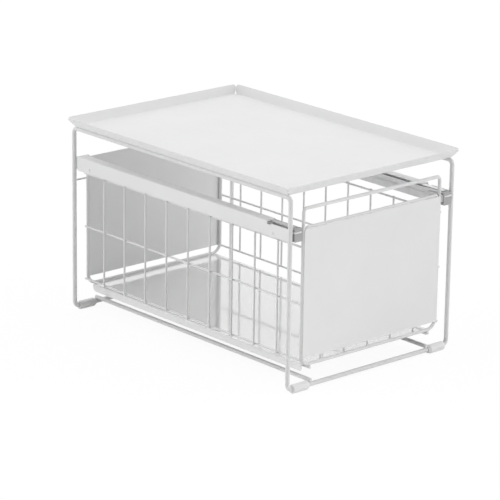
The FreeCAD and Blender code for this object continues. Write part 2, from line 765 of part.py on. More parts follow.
def front_loop():
    """Closed rod around the front panel, with the handle as its top bar."""
    path = [
        ("-loop_x", "-front_loop", "loop_low"),
        ("loop_x", "-front_loop", "loop_low"),
        ("loop_x", "-front_loop", "handle_height"),
        ("-loop_x", "-front_loop", "handle_height"),
    ]
    return rod(path, "loop_rod", ["loop_low_bend", "loop_low_bend", "loop_top_bend", "loop_top_bend"], True)


def rear_loop():
    """U-shaped rod around the rear panel."""
    path = [
        ("-loop_x", "rear_loop", "rear_top"),
        ("-loop_x", "rear_loop", "loop_low"),
        ("loop_x", "rear_loop", "loop_low"),
        ("loop_x", "rear_loop", "rear_top"),
    ]
    return rod(path, "loop_rod", ["loop_low_bend", "loop_low_bend"])


def panel(end, top):
    """Sheet on the outer side of a loop, with rounded corners."""
    body = new_body()
    loop = "front_loop" if end < 0 else "rear_loop"
    face = f"-({end}) * ({loop} + loop_rod / 2)"
    outline = draw_outline(new_sketch(body, "XZ", face), [
        ("-loop_x", "panel_low", "panel_round"), ("loop_x", "panel_low", "panel_round"),
        ("loop_x", top, "panel_round"), ("-loop_x", top, "panel_round"),
    ])
    pad(body, outline, "panel_sheet", reverse=end > 0)
    return body


def lip_rod():
    """Rod above the front panel, its ends turned down behind the panel beside the loop's legs."""
    low = "lip_height - lip_tail"
    path = [
        ("-lip_x", "-lip_y", low),
        ("-lip_x", "-lip_y", "lip_height"),
        ("lip_x", "-lip_y", "lip_height"),
        ("lip_x", "-lip_y", low),
    ]
    return rod(path, "lip_rod", ["lip_bend", "lip_bend"])


def floor_plate():
    """Sheet floor of the basket with down-turned sides, sloped at the front and rounded at the rear."""
    body = new_body()
    top, inner = "floor_level + plate_sheet", "plate_half - plate_sheet"
    inner_bend = "plate_round - plate_sheet"
    section = [
        ("-plate_half", "plate_low"), (f"-({inner})", "plate_low"),
        (f"-({inner})", "floor_level", inner_bend), (inner, "floor_level", inner_bend),
        (inner, "plate_low"), ("plate_half", "plate_low"),
        ("plate_half", top, "plate_round"), ("-plate_half", top, "plate_round"),
    ]
    pad(body, draw_outline(new_sketch(body, "XZ", "-plate_rear"), section), "plate_front + plate_rear")
    low, thick = value("plate_low"), value("plate_sheet")

    def low_corner(sense):
        def chosen(edge):
            centre = edge.CenterOfMass
            return abs(edge.Length - thick) < MATCH and abs(centre.z - low) < MATCH and centre.y * sense > 0
        return chosen

    soften(body, "Fillet", "plate_end_round", low_corner(1))
    soften(body, "Chamfer", "plate_end_slope", low_corner(-1))
    return body


def floor_rod(side):
    """Rod under the basket floor, from one loop to the other."""
    x, z = f"({side}) * floor_rod_x", "floor_level - floor_rod / 2"
    front, rear = "-front_loop - floor_rod_overhang", "rear_loop + floor_rod_overhang"
    return rod([(x, front, z), (x, rear, z)], "floor_rod")


def floor_wires():
    """Wires under the basket floor, turned up inside the front loop's lower bar."""
    count = round(value("floor_wire_count"))
    low = "floor_level - wire / 2"
    wires = []
    for i in range(count):
        x = f"({i - (count - 1) / 2}) * floor_wire_pitch"
        path = [
            (x, "-wire_front", "floor_wire_tip"),
            (x, "-wire_front", low),
            (x, "wire_rear", low),
        ]
        wires.append(rod(path, "wire", ["floor_wire_bend"]))
    return group(wires)


def side_wire(side, height):
    """Long wire on the outer side of both loops."""
    x = f"({side}) * side_x"
    front, rear = "-front_loop - side_front_overhang", "rear_loop + side_rear_overhang"
    return rod([(x, front, height), (x, rear, height)], "wire")


def upright_wires(side, middle):
    """Row of uprights on the outer side of the long wires."""
    count = round(value("upright_count"))
    x = f"({side}) * upright_x"
    wires = []
    for i in range(count):
        y = f"{middle} + ({i - (count - 1) / 2}) * upright_pitch"
        wires.append(rod([(x, y, "upright_low"), (x, y, "upright_top")], "wire"))
    return group(wires)


# The frame and its fixed slide members.
for side_name, side in SIDES.items():
    keep(side_frame(side), f"side_frame_{side_name}")
    keep(base_rod(side), f"base_rod_{side_name}")
    keep(rail(side), f"rail_{side_name}")
    keep(slide_outer(side), f"slide_outer_{side_name}")
    keep(group([rivet(side, y, z) for y, z in rivet_spots()]), f"rail_rivets_{side_name}")
    for end_name, end in ENDS.items():
        keep(foot(side, end), f"foot_{end_name}_{side_name}")
for end_name, end in ENDS.items():
    keep(floor_bar(end), f"floor_bar_{end_name}")
keep(cross_bar(), "rear_cross_bar")
keep(tray(), "tray_top")

# The ball cages between the slide members.
for side_name, side in SIDES.items():
    keep(ball_cage(side), f"ball_cage_{side_name}")
    keep(ball_set(side), f"slide_balls_{side_name}")

# The basket drawer.
keep(front_loop(), "front_loop")
keep(rear_loop(), "rear_loop")
keep(panel(ENDS["front"], "front_panel_top"), "front_panel")
keep(panel(ENDS["rear"], "rear_panel_top"), "rear_panel")
keep(lip_rod(), "front_lip_rod")
keep(floor_plate(), "floor_plate")
keep(floor_wires(), "floor_wires")
for side_name, side in SIDES.items():
    keep(slide_inner(side), f"slide_inner_{side_name}")
    keep(slide_end(side), f"slide_end_{side_name}")
    keep(floor_rod(side), f"floor_rod_{side_name}")
    for level in ("top", "mid", "low"):
        keep(side_wire(side, f"side_wire_{level}"), f"side_wire_{level}_{side_name}")
    keep(upright_wires(side, f"upright_{side_name}_mid"), f"upright_wires_{side_name}")
    for end_name, end in ENDS.items():
        keep(hanger(side, end), f"hanger_{end_name}_{side_name}")
    keep(group([hanger_screw(side, end) for end in ENDS.values()]), f"hanger_screws_{side_name}")

doc.recompute()
for thing in doc.Objects:
    if {"Invalid", "Error"} & set(thing.State):
        raise RuntimeError(f"{thing.Label} did not build: {thing.State}")
for node in nodes:
    if node.Shape.isNull() or not node.Shape.isValid():
        raise RuntimeError(f"{node.Label} has no valid shape")

os.makedirs("parts", exist_ok=True)
for node in nodes:
    node.Shape.exportStep(os.path.join("parts", f"{node.Label}.step"))
    print(f"{node.Label}: {len(node.Shape.Solids)} solid(s), {node.Shape.Volume:.1f} mm3")
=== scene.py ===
"""Studio model of an under-sink organizer: wire frame, folded tray and basket drawer on slides."""

import json
import logging
import math
from collections.abc import Callable
from dataclasses import dataclass
from enum import Enum

import bpy
from mathutils import Matrix, Quaternion, Vector


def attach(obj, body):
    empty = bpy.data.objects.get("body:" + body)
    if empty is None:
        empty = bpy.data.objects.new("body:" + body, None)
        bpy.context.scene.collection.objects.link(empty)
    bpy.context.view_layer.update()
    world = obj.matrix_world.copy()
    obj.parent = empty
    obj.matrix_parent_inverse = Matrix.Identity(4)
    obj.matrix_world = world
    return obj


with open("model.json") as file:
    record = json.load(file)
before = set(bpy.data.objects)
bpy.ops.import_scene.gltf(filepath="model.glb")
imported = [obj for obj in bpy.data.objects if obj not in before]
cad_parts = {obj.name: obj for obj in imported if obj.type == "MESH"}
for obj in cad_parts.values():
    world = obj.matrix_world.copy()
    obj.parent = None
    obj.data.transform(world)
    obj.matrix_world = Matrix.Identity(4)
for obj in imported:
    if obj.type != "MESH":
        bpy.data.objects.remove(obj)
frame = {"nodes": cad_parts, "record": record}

LOG = logging.getLogger("organizer")
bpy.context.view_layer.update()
MM = 0.001
SIDES = {"left": -1.0, "right": 1.0}
ENDS = {"front": -1.0, "rear": 1.0}
RANGE_INPUTS = ("From Min", "From Max", "To Min", "To Max")
ALONG_AXIS = 0.9

Colour = tuple[float, float, float]
Point = tuple[float, float, float]
Socket = bpy.types.NodeSocket


class Body(Enum):
    """The bodies that the made pieces ride on."""

    FRAME = "frame"
    DRAWER = "drawer"


class Slot(Enum):
    """The record's material slots."""

    ROD = "white_rod"
    WIRE = "white_wire"
    SHEET = "white_sheet"
    GLOSS = "gloss_sheet"
    FOOT = "foot_plastic"
    STOP = "stop_plastic"
    ZINC = "zinc"
    BALL = "ball_steel"


class Nodes:
    """A small builder for one material's node tree."""

    MIDDLE = (0.3, 0.7)
    MIX_SHARE, MIX_FIRST, MIX_SECOND, MIX_RESULT = 0, 6, 7, 2

    def __init__(self, name: str) -> None:
        """Start an empty surface.

        Args:
            name: The material's name.
        """
        self.material = bpy.data.materials.new(name)
        self.material.use_nodes = True
        self.tree = self.material.node_tree
        self.tree.nodes.clear()
        self.shader = self.add("ShaderNodeBsdfPrincipled")
        output = self.add("ShaderNodeOutputMaterial")
        self.link(self.shader.outputs["BSDF"], output.inputs["Surface"])
        self.place = self.add("ShaderNodeTexCoord").outputs["Object"]

    def add(self, kind: str) -> bpy.types.Node:
        """Add a node of a kind."""
        return self.tree.nodes.new(kind)

    def link(self, source: Socket, target: Socket) -> None:
        """Join two sockets."""
        self.tree.links.new(source, target)

    def stretched(self, scale: Point) -> Socket:
        """Object coordinates stretched along the axes.

        Args:
            scale: How often a pattern repeats along X, Y and Z, compared with its own scale.

        Returns:
            The stretched coordinates.
        """
        mapping = self.add("ShaderNodeMapping")
        mapping.inputs["Scale"].default_value = scale
        self.link(self.place, mapping.inputs["Vector"])
        return mapping.outputs["Vector"]

    def noise(self, size: float, detail: float, where: Socket | None = None) -> Socket:
        """A soft random pattern.

        Args:
            size: Width of one patch in metres.
            detail: Octaves of finer patches.
            where: Coordinates, or none for plain object coordinates.

        Returns:
            The pattern's strength, about 0 to 1.
        """
        texture = self.add("ShaderNodeTexNoise")
        texture.inputs["Scale"].default_value = 1.0 / size
        texture.inputs["Detail"].default_value = detail
        self.link(where or self.place, texture.inputs["Vector"])
        return texture.outputs["Fac"]

    def cells(self, size: float) -> Socket:
        """A pattern of random cells.

        Args:
            size: Width of one cell in metres.

        Returns:
            The distance to the middle of the nearest cell.
        """
        texture = self.add("ShaderNodeTexVoronoi")
        texture.inputs["Scale"].default_value = 1.0 / size
        self.link(self.place, texture.inputs["Vector"])
        return texture.outputs["Distance"]

    def ramp(self, value: Socket, start: float, end: float, low: float, high: float) -> Socket:
        """Map a range of values to another.

        Args:
            value: What to map.
            start: Value that becomes low.
            end: Value that becomes high.
            low: Result at the start.
            high: Result at the end.

        Returns:
            The mapped value.
        """
        ranged = self.add("ShaderNodeMapRange")
        for name, number in zip(RANGE_INPUTS, (start, end, low, high)):
            ranged.inputs[name].default_value = number
        self.link(value, ranged.inputs["Value"])
        return ranged.outputs["Result"]

    def spread(self, pattern: Socket, low: float, high: float) -> Socket:
        """Map a pattern's middle range to a range of values."""
        return self.ramp(pattern, *self.MIDDLE, low, high)

    def mixed(self, share: Socket, first: Colour, second: Colour) -> Socket:
        """Mix two colours.

        Args:
            share: How much of the second, 0 to 1.
            first: Colour at 0.
            second: Colour at 1.

        Returns:
            The mixed colour.
        """
        mix = self.add("ShaderNodeMix")
        mix.data_type = "RGBA"
        mix.inputs[self.MIX_FIRST].default_value = (*first, 1.0)
        mix.inputs[self.MIX_SECOND].default_value = (*second, 1.0)
        self.link(share, mix.inputs[self.MIX_SHARE])
        return mix.outputs[self.MIX_RESULT]

    def blend(self, pattern: Socket, first: Colour, second: Colour) -> Socket:
        """Blend two colours by a pattern's middle range."""
        return self.mixed(self.spread(pattern, 0.0, 1.0), first, second)

    def bump(self, *layers: tuple[Socket, float]) -> None:
        """Raise the surface by patterns.

        Args:
            layers: Each a pattern and its height in metres.
        """
        normal = None
        for pattern, height in layers:
            raised = self.add("ShaderNodeBump")
            raised.inputs["Strength"].default_value = 1.0
            raised.inputs["Distance"].default_value = height
            self.link(pattern, raised.inputs["Height"])
            if normal is not None:
                self.link(normal, raised.inputs["Normal"])
            normal = raised.outputs["Normal"]
        self.link(normal, self.shader.inputs["Normal"])

    def drive(self, name: str, source: Socket) -> None:
        """Let a socket drive one of the shader's inputs."""
        self.link(source, self.shader.inputs[name])

    def set(self, **values: float) -> None:
        """Set plain numbers on the shader's own sockets, by name with _ for a space."""
        for name, number in values.items():
            self.shader.inputs[name.replace("_", " ")].default_value = number


@dataclass(frozen=True)
class Finish:
    """What every finish has: its name, two colours and a range of roughness."""

    name: str
    colour: Colour
    shade: Colour
    roughness: tuple[float, float]

    def material(self) -> bpy.types.Material:
        """Make the finish.

        Returns:
            The material, with its patterns on object coordinates.
        """
        nodes = Nodes(self.name)
        self.lay(nodes)
        return nodes.material

    def lay(self, nodes: Nodes) -> None:
        """Lay the finish's own patterns on an empty surface."""


@dataclass(frozen=True)
class PowderCoat(Finish):
    """Sprayed and baked white coat with a fine orange peel."""

    patch: float = 55.0 * MM
    rub: float = 9.0 * MM
    peel: float = 1.1 * MM
    peel_height: float = 0.010 * MM
    grain: float = 0.28 * MM
    grain_height: float = 0.004 * MM
    ior: float = 1.5

    def lay(self, nodes: Nodes) -> None:
        """Lay the finish's own patterns on an empty surface."""
        patches = nodes.noise(self.patch, detail=3.0)
        peel = nodes.noise(self.peel, detail=1.0)
        nodes.drive("Base Color", nodes.blend(patches, self.colour, self.shade))
        rubbed = nodes.noise(self.rub, detail=4.0)
        nodes.drive("Roughness", nodes.spread(rubbed, *self.roughness))
        grain = nodes.noise(self.grain, detail=0.0)
        nodes.bump((peel, self.peel_height), (grain, self.grain_height))
        nodes.set(IOR=self.ior)


@dataclass(frozen=True)
class ZincPlate(Finish):
    """Bright zinc on rolled steel, drawn along the slide."""

    metal: float = 0.48
    drawn: Point = (14.0, 1.0, 14.0)
    streak: float = 16.0 * MM
    streak_height: float = 0.006 * MM
    bloom: float = 7.0 * MM

    def lay(self, nodes: Nodes) -> None:
        """Lay the finish's own patterns on an empty surface."""
        streaks = nodes.noise(self.streak, detail=5.0, where=nodes.stretched(self.drawn))
        bloom = nodes.noise(self.bloom, detail=3.0)
        nodes.drive("Base Color", nodes.blend(bloom, self.colour, self.shade))
        nodes.drive("Roughness", nodes.spread(streaks, *self.roughness))
        nodes.bump((streaks, self.streak_height))
        nodes.set(Metallic=self.metal)


@dataclass(frozen=True)
class MouldedPlastic(Finish):
    """Spark-eroded moulding with a dull, even grain."""

    flow: float = 14.0 * MM
    rub: float = 4.0 * MM
    grain: float = 0.45 * MM
    grain_height: float = 0.012 * MM
    ior: float = 1.46

    def lay(self, nodes: Nodes) -> None:
        """Lay the finish's own patterns on an empty surface."""
        flow = nodes.noise(self.flow, detail=2.0)
        nodes.drive("Base Color", nodes.blend(flow, self.colour, self.shade))
        nodes.drive("Roughness", nodes.spread(nodes.noise(self.rub, detail=3.0), *self.roughness))
        nodes.bump((nodes.cells(self.grain), self.grain_height))
        nodes.set(IOR=self.ior)


@dataclass(frozen=True)
class BearingSteel(Finish):
    """Polished ball steel with a trace of grease."""

    smear: float = 1.4 * MM

    def lay(self, nodes: Nodes) -> None:
        """Lay the finish's own patterns on an empty surface."""
        grease = nodes.noise(self.smear, detail=3.0)
        nodes.drive("Base Color", nodes.blend(grease, self.colour, self.shade))
        nodes.drive("Roughness", nodes.spread(grease, *self.roughness))
        nodes.set(Metallic=1.0)


@dataclass(frozen=True)
class MirrorCoat(Finish):
    """Lacquered floor sheet: mirror bright and faintly wavy on top, plain and shaded below the fold."""

    metal: float = 0.33
    fold: tuple[float, float] = (28.6 * MM, 29.4 * MM)
    haze: float = 12.0 * MM
    wave: float = 42.0 * MM
    wave_height: float = 0.42 * MM
    coat_ior: float = 1.6
    coat_roughness: float = 0.03

    def lay(self, nodes: Nodes) -> None:
        """Lay the finish's own patterns on an empty surface."""
        split = nodes.add("ShaderNodeSeparateXYZ")
        nodes.link(nodes.place, split.inputs["Vector"])
        top = nodes.ramp(split.outputs["Z"], *self.fold, 0.0, 1.0)
        nodes.drive("Base Color", nodes.mixed(top, self.shade, self.colour))
        nodes.drive("Metallic", nodes.ramp(split.outputs["Z"], *self.fold, 0.0, self.metal))
        nodes.drive("Roughness", nodes.spread(nodes.noise(self.haze, detail=3.0), *self.roughness))
        nodes.bump((nodes.noise(self.wave, detail=1.0), self.wave_height))
        nodes.set(Coat_Weight=1.0, Coat_IOR=self.coat_ior, Coat_Roughness=self.coat_roughness)


FINISHES: dict[Slot, Finish] = {
    # Painted shade: the rod and wire coats are darker copies of the sheet coat's white paint, so thin
    # rods and wires look more shaded.
    Slot.ROD: PowderCoat("rod_coat", (0.785, 0.785, 0.785), (0.765, 0.765, 0.768), (0.34, 0.46)),
    Slot.WIRE: PowderCoat("wire_coat", (0.80, 0.80, 0.80), (0.78, 0.78, 0.783), (0.34, 0.46)),
    Slot.SHEET: PowderCoat("sheet_coat", (0.835, 0.835, 0.835), (0.815, 0.815, 0.818), (0.42, 0.54)),
    Slot.GLOSS: MirrorCoat("floor_coat", (0.90, 0.90, 0.90), (0.84, 0.84, 0.84), (0.05, 0.09)),
    Slot.FOOT: MouldedPlastic("foot_moulding", (0.86, 0.86, 0.855), (0.84, 0.84, 0.835), (0.48, 0.60)),
    Slot.STOP: MouldedPlastic("stop_moulding", (0.45, 0.45, 0.455), (0.41, 0.41, 0.415), (0.45, 0.58)),
    Slot.ZINC: ZincPlate("zinc_plate", (0.79, 0.795, 0.80), (0.73, 0.735, 0.74), (0.38, 0.52)),
    Slot.BALL: BearingSteel("ball_polish", (0.62, 0.62, 0.64), (0.55, 0.55, 0.57), (0.08, 0.24)),
}


class Part(Enum):
    """What an edit-mode selection is made of."""

    VERTS = "VERT"
    EDGES = "EDGE"
    FACES = "FACE"


def clear_bench() -> None:
    """Go back to object mode with nothing selected."""
    if bpy.context.object is not None and bpy.context.object.mode != "OBJECT":
        bpy.ops.object.mode_set(mode="OBJECT")
    bpy.ops.object.select_all(action="DESELECT")


class Workpiece:
    """A primitive on the bench, shaped with edit-mode operators."""

    SAME_PLACE = 1e-6

    def __init__(self, name: str, add: Callable[..., set[str]], **sizes: float | Point) -> None:
        """Add a primitive with nothing else selected.

        Args:
            name: The piece's name.
            add: The operator that adds the primitive.
            sizes: The operator's own settings.
        """
        clear_bench()
        add(**sizes)
        self.thing = bpy.context.object
        self.thing.name = self.thing.data.name = name

    def pick(self, part: Part, test: Callable[[Vector, Vector], bool]) -> None:
        """Go to edit mode with chosen elements selected.

        Args:
            part: Vertices, edges or faces.
            test: Tells by place and by normal, or an edge's direction, what is chosen.
        """
        self.leave()
        mesh = self.thing.data
        for group in (mesh.vertices, mesh.edges, mesh.polygons):
            group.foreach_set("select", [False] * len(group))
        if part is Part.VERTS:
            for vertex in mesh.vertices:
                vertex.select = test(vertex.co, vertex.normal)
        elif part is Part.EDGES:
            for edge in mesh.edges:
                first, second = (mesh.vertices[i].co for i in edge.vertices)
                edge.select = test((first + second) / 2.0, (second - first).normalized())
        else:
            for face in mesh.polygons:
                face.select = test(face.center, face.normal)
        bpy.context.tool_settings.mesh_select_mode = tuple(kind is part for kind in Part)
        bpy.ops.object.mode_set(mode="EDIT")

    def leave(self) -> None:
        """Go back to object mode with only this piece selected."""
        clear_bench()
        self.thing.select_set(True)
        bpy.context.view_layer.objects.active = self.thing

    def modify(self, kind: str, **settings: float | int | str | bpy.types.Object) -> None:
        """Add a modifier and apply it.

        Args:
            kind: The modifier's kind.
            settings: Its settings by name.
        """
        self.leave()
        modifier = self.thing.modifiers.new(kind.lower(), kind)
        for name, value in settings.items():
            setattr(modifier, name, value)
        bpy.ops.object.modifier_apply(modifier=modifier.name)

    def close(self, angle: float = 40.0) -> bpy.types.Object:
        """Merge doubles, turn faces outwards, smooth, and bake the object's place into the mesh.

        Args:
            angle: Edges flatter than this many degrees are smooth.

        Returns:
            The finished shape.
        """
        self.pick(Part.VERTS, lambda place, normal: True)
        bpy.ops.mesh.remove_doubles(threshold=self.SAME_PLACE)
        bpy.ops.mesh.normals_make_consistent(inside=False)
        self.leave()
        bpy.ops.object.transform_apply(location=True, rotation=True, scale=True)
        bpy.ops.object.shade_smooth_by_angle(angle=math.radians(angle))
        return self.thing


def aim(place: Point, along: Point, up: Point) -> Matrix:
    """Where to put a copied shape.

    Args:
        place: The copy's origin, in metres.
        along: Direction of the shape's X axis.
        up: Direction of the shape's Z axis.

    Returns:
        The matrix from the shape to its place.
    """
    across, rise = Vector(along).normalized(), Vector(up).normalized()
    turn = Matrix((across, rise.cross(across), rise)).transposed()
    return Matrix.Translation(place) @ turn.to_4x4()


def scatter(name: str, shape: bpy.types.Object, spots: list[Matrix]) -> bpy.types.Object:
    """Copy a modelled shape to places and join the copies.

    Args:
        name: The joined piece's name.
        shape: The shape, which stays as it is.
        spots: Where the copies go.

    Returns:
        The joined piece.
    """
    clear_bench()
    for spot in spots:
        copy = shape.copy()
        copy.data = shape.data.copy()
        copy.data.transform(spot)
        bpy.context.scene.collection.objects.link(copy)
        copy.select_set(True)
        bpy.context.view_layer.objects.active = copy
    bpy.ops.object.join()
    piece = bpy.context.object
    piece.name = piece.data.name = name
    return piece


def weld_bead(name: str, width: float, height: float) -> bpy.types.Object:
    """A spot weld squeezed out between two crossing rods: a flat drop with a thin skirt.

    Args:
        name: The shape's name.
        width: Across the skirt, in metres.
        height: From rod to rod, in metres.

    Returns:
        The shape, with the rods above and below it along Z.
    """
    skirt, crown, flat = 1.12, 1.25, 0.86
    waist, cap = 0.1, 0.4
    bead = Workpiece(name, bpy.ops.mesh.primitive_uv_sphere_add, segments=12, ring_count=6,
                     radius=0.5)
    bead.pick(Part.VERTS, lambda place, normal: abs(place.z) < waist)
    bpy.ops.transform.resize(value=(skirt, skirt, 1.0))
    bead.pick(Part.VERTS, lambda place, normal: abs(place.z) > cap)
    bpy.ops.transform.resize(value=(crown, crown, flat))
    bead.leave()
    bpy.ops.transform.resize(value=(width / skirt, width / skirt, height))
    return bead.close(angle=70.0)


def seam_bead(name: str, length: float, width: float, ripples: int) -> bpy.types.Object:
    """A short welded seam with the ripples of the torch.

    Args:
        name: The shape's name.
        length: Along X, in metres.
        width: Across the seam, in metres.
        ripples: How many ripples it shows.

    Returns:
        The shape, lying along X.
    """
    waist, tip = 0.82, 0.55
    seam = Workpiece(name, bpy.ops.mesh.primitive_cylinder_add, vertices=10,
                     radius=width / 2.0, depth=length, rotation=(0.0, math.pi / 2.0, 0.0))
    bpy.ops.object.transform_apply(location=False, rotation=True, scale=False)
    seam.pick(Part.EDGES, lambda place, way: abs(way.x) > ALONG_AXIS)
    bpy.ops.mesh.subdivide(number_cuts=2 * ripples - 1)
    step = length / (2 * ripples)
    seam.pick(Part.VERTS, lambda place, normal: round((place.x + length / 2.0) / step) % 2 == 0)
    bpy.ops.transform.resize(value=(1.0, waist, waist))
    seam.pick(Part.VERTS, lambda place, normal: abs(place.x) > length / 2.0 - step / 2.0)
    bpy.ops.transform.resize(value=(1.0, tip, tip))
    return seam.close(angle=60.0)


def rod_end(name: str, diameter: float) -> bpy.types.Object:
    """The coat's soft dome over a cropped rod end.

    Args:
        name: The shape's name.
        diameter: The rod's, in metres.

    Returns:
        The shape, with the rod below it along Z.
    """
    radius = diameter / 2.0
    skin, collar, sunk, upward = 1.012, 0.2, 0.02, 0.98
    steps = ((0.10, 0.10), (0.22, 0.10), (0.34, 0.06))
    dome = Workpiece(name, bpy.ops.mesh.primitive_cylinder_add, vertices=20, radius=radius * skin,
                     depth=collar * radius, location=(0.0, 0.0, -sunk * radius))
    for share, rise in steps:
        dome.pick(Part.FACES, lambda place, normal: normal.z > upward)
        bpy.ops.mesh.inset(thickness=share * radius)
        bpy.ops.transform.translate(value=(0.0, 0.0, rise * radius))
    return dome.close(angle=60.0)


def screw_top(name: str, width: float, rise: float) -> bpy.types.Object:
    """A pan screw's crown with a cross recess.

    Args:
        name: The shape's name.
        width: Across the crown, in metres.
        rise: Its height, in metres.

    Returns:
        The shape, facing up along Z.
    """
    near_top, rounding, taper = 0.9, 0.6, 0.7
    blade_size = (0.52 * width, 0.11 * width, 1.3 * rise)
    crown = Workpiece(name, bpy.ops.mesh.primitive_cylinder_add, vertices=32, radius=width / 2.0,
                      depth=rise, location=(0.0, 0.0, rise / 2.0))
    bpy.ops.object.transform_apply(location=True, rotation=False, scale=False)
    crown.pick(Part.EDGES, lambda place, way: place.z > near_top * rise)
    bpy.ops.mesh.bevel(offset=rounding * rise, segments=4, profile=0.5)
    cutters = []
    for turn in (0.0, math.pi / 2.0):
        blade = Workpiece("recess", bpy.ops.mesh.primitive_cube_add, size=1.0,
                          location=(0.0, 0.0, rise), rotation=(0.0, 0.0, turn))
        bpy.ops.transform.resize(value=blade_size, orient_type="LOCAL")
        bpy.ops.object.transform_apply(location=True, rotation=True, scale=True)
        blade.pick(Part.VERTS, lambda place, normal: place.z < rise)
        bpy.ops.transform.resize(value=(taper, taper, 1.0), center_override=(0.0, 0.0, rise))
        blade.leave()
        cutters.append(blade.thing)
    for cutter in cutters:
        crown.modify("BOOLEAN", operation="DIFFERENCE", object=cutter, solver="EXACT")
        bpy.data.objects.remove(cutter)
    return crown.close(angle=30.0)


def thin_ridge(name: str, length: float, width: float) -> bpy.types.Object:
    """A thin ridge, as a two-part mould or a forming roller leaves it, dying out at both ends.

    Args:
        name: The shape's name.
        length: Along X, in metres.
        width: Across it, in metres.

    Returns:
        The shape, raised along Z.
    """
    end_share, end_wide, end_high, rounding = 0.49, 0.6, 0.25, 0.3
    ridge = Workpiece(name, bpy.ops.mesh.primitive_cube_add, size=1.0)
    bpy.ops.transform.resize(value=(length, width, width))
    bpy.ops.object.transform_apply(location=False, rotation=False, scale=True)
    ridge.pick(Part.EDGES, lambda place, way: abs(way.x) > ALONG_AXIS)
    bpy.ops.mesh.subdivide(number_cuts=6)
    ridge.pick(Part.VERTS, lambda place, normal: abs(place.x) > end_share * length)
    bpy.ops.transform.resize(value=(1.0, end_wide, end_high))
    ridge.pick(Part.EDGES, lambda place, way: abs(way.x) > ALONG_AXIS and place.z > 0.0)
    bpy.ops.mesh.bevel(offset=rounding * width, segments=2)
    return ridge.close(angle=35.0)


@dataclass
class Assembly:
    """Solids that belong together, with the small parts that are made for them here."""

    palette: dict[Slot, bpy.types.Material]

    def solids(self) -> list[str]:
        """Name the solids in this group."""
        return []

    def build(self) -> None:
        """Make the small parts."""

    def dress(self) -> None:
        """Give each solid the finish of its slot."""
        rows = {row["node"]: row["material_slot"] for row in frame["record"]["subparts"]}
        for name in self.solids():
            solid = frame["nodes"][name]
            if not solid.material_slots:
                solid.data.materials.append(None)
            for place in solid.material_slots:
                place.material = self.palette[Slot(rows[name])]
            LOG.info("%s: %s", name, rows[name])

    def fit(self, piece: bpy.types.Object, body: Body, slot: Slot) -> None:
        """Put a made piece on its body, in its finish.

        Args:
            piece: The piece, in place.
            body: What it moves with.
            slot: The finish it takes.
        """
        piece.data.materials.clear()
        piece.data.materials.append(self.palette[slot])
        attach(piece, body.value)
        LOG.info("%s: %s", piece.name, slot.value)

    def spread_out(self, name: str, shape: bpy.types.Object, spots: list[Matrix], body: Body,
                   slot: Slot) -> None:
        """Copy a shape to its places as one piece, fit that, and clear the shape away.

        Args:
            name: The piece's name.
            shape: The modelled shape.
            spots: Where the copies go.
            body: What the piece moves with.
            slot: The finish it takes.
        """
        self.fit(scatter(name, shape, spots), body, slot)
        bpy.data.objects.remove(shape)


@dataclass
class RodFrame(Assembly):
    """The standing frame: bent side rods, floor bars, base rods, cross bar and foot sleeves."""

    leg_x: float = 130.5 * MM
    leg_y: float = 200.0 * MM
    bar_height: float = 5.0 * MM
    bar_top: float = 7.75 * MM
    base_x: float = 95.2 * MM
    base_rod: float = 5.0 * MM
    base_end: float = 201.0 * MM
    cross_height: float = 169.0 * MM
    cross_contact: float = 202.75 * MM
    cross_y: float = 203.95 * MM
    cross_rod: float = 2.4 * MM
    foot_outer: float = 124.2 * MM
    foot_barrel: float = 22.5 * MM
    foot_radius: float = 5.4 * MM
    base_bead: tuple[float, float] = (3.6 * MM, 1.5 * MM)
    cross_bead: tuple[float, float] = (2.6 * MM, 1.1 * MM)
    ridge_share: float = 0.86
    ridge_wide: float = 0.5 * MM

    def solids(self) -> list[str]:
        """Name the solids in this group.

        Returns:
            The rods' and the foot sleeves' nodes.
        """
        names = ["floor_bar_front", "floor_bar_rear", "rear_cross_bar"]
        for side in SIDES:
            kinds = ("side_frame", "base_rod", "foot_front", "foot_rear")
            names += [f"{kind}_{side}" for kind in kinds]
        return names

    def build(self) -> None:
        """Make the welds, the rod ends and the sleeves' moulding ridges."""
        corners = [(x, y) for x in SIDES.values() for y in ENDS.values()]
        self.spread_out("base_welds", weld_bead("base_bead", *self.base_bead), [
            aim((x * self.base_x, y * self.leg_y, self.bar_top), (1, 0, 0), (0, 0, 1))
            for x, y in corners
        ], Body.FRAME, Slot.ROD)
        base_height = self.bar_top + self.base_rod / 2
        self.spread_out("base_ends", rod_end("base_dome", self.base_rod), [
            aim((x * self.base_x, y * self.base_end, base_height), (1, 0, 0), (0, y, 0))
            for x, y in corners
        ], Body.FRAME, Slot.ROD)
        self.spread_out("cross_welds", weld_bead("cross_bead", *self.cross_bead), [
            aim((x * self.leg_x, self.cross_contact, self.cross_height), (1, 0, 0), (0, 1, 0))
            for x in SIDES.values()
        ], Body.FRAME, Slot.ROD)
        self.spread_out("cross_ends", rod_end("cross_dome", self.cross_rod), [
            aim((x * self.leg_x, self.cross_y, self.cross_height), (0, 1, 0), (x, 0, 0))
            for x in SIDES.values()
        ], Body.FRAME, Slot.ROD)
        middle = self.foot_outer - self.foot_barrel / 2
        ridge = thin_ridge("foot_ridge", self.ridge_share * self.foot_barrel, self.ridge_wide)
        self.spread_out("foot_ridges", ridge, [
            aim((x * middle, y * self.leg_y + face * self.foot_radius, self.bar_height),
                (1, 0, 0), (0, face, 0))
            for x, y in corners for face in (-1, 1)
        ], Body.FRAME, Slot.FOOT)


